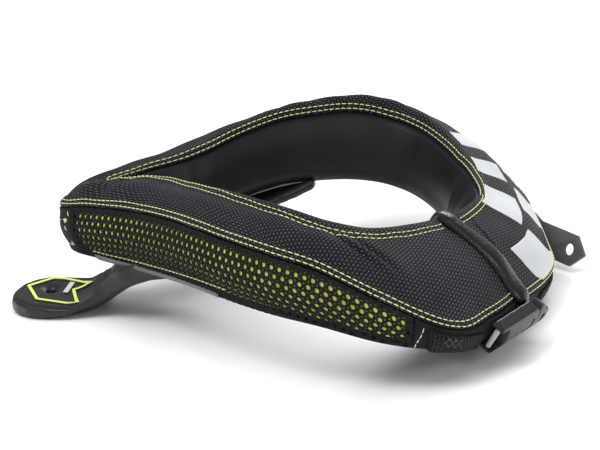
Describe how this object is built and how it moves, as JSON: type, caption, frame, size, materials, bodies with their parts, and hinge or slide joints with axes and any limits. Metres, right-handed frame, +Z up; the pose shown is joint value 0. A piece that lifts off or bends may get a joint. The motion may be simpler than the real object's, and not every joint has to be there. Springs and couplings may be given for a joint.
{
  "type": "motocross neck brace",
  "caption": "Padded race collar worn round the neck under a helmet, open in the middle, with side vents, a front buckle, a side tab and a moulded back tongue.",
  "frame": {"origin": "middle of the bounding box at floor height, with the collar lying on its tongue and its front", "axes": "+X towards the front closure, +Y towards the side with the anchor tab, +Z up"},
  "size_m": [0.3796, 0.2898, 0.1085],
  "materials": {
    "liner": "smooth dark liner",
    "weave": "coarse charcoal weave",
    "mesh": "black knitted mesh",
    "underlay": "yellow-green cloth",
    "leatherette": "glossy pebbled black",
    "yoke": "moulded satin",
    "outline": "printed neon",
    "label": "matt white",
    "webbing": "ribbed webbing",
    "plastic": "satin moulded",
    "bar": "light grey",
    "tab": "stamped plate"
  },
  "bodies": {
    "root": {"foam_pad": "liner", "top_panel": "weave", "side_mesh_near": "mesh", "side_underlay_near": "underlay", "side_mesh_far": "mesh", "side_underlay_far": "underlay", "tail_patch": "weave", "front_patch": "weave", "near_front_patch": "weave", "seam_cap": "leatherette", "back_yoke": "yoke", "tongue_outline": "outline", "tongue_label": "label", "webbing_near": "webbing", "webbing_front": "webbing", "strap_keeper": "webbing", "buckle_body": "plastic", "buckle_latch": "plastic", "adjuster_bar": "bar", "anchor_tab": "tab"}
  },
  "joints": []
}
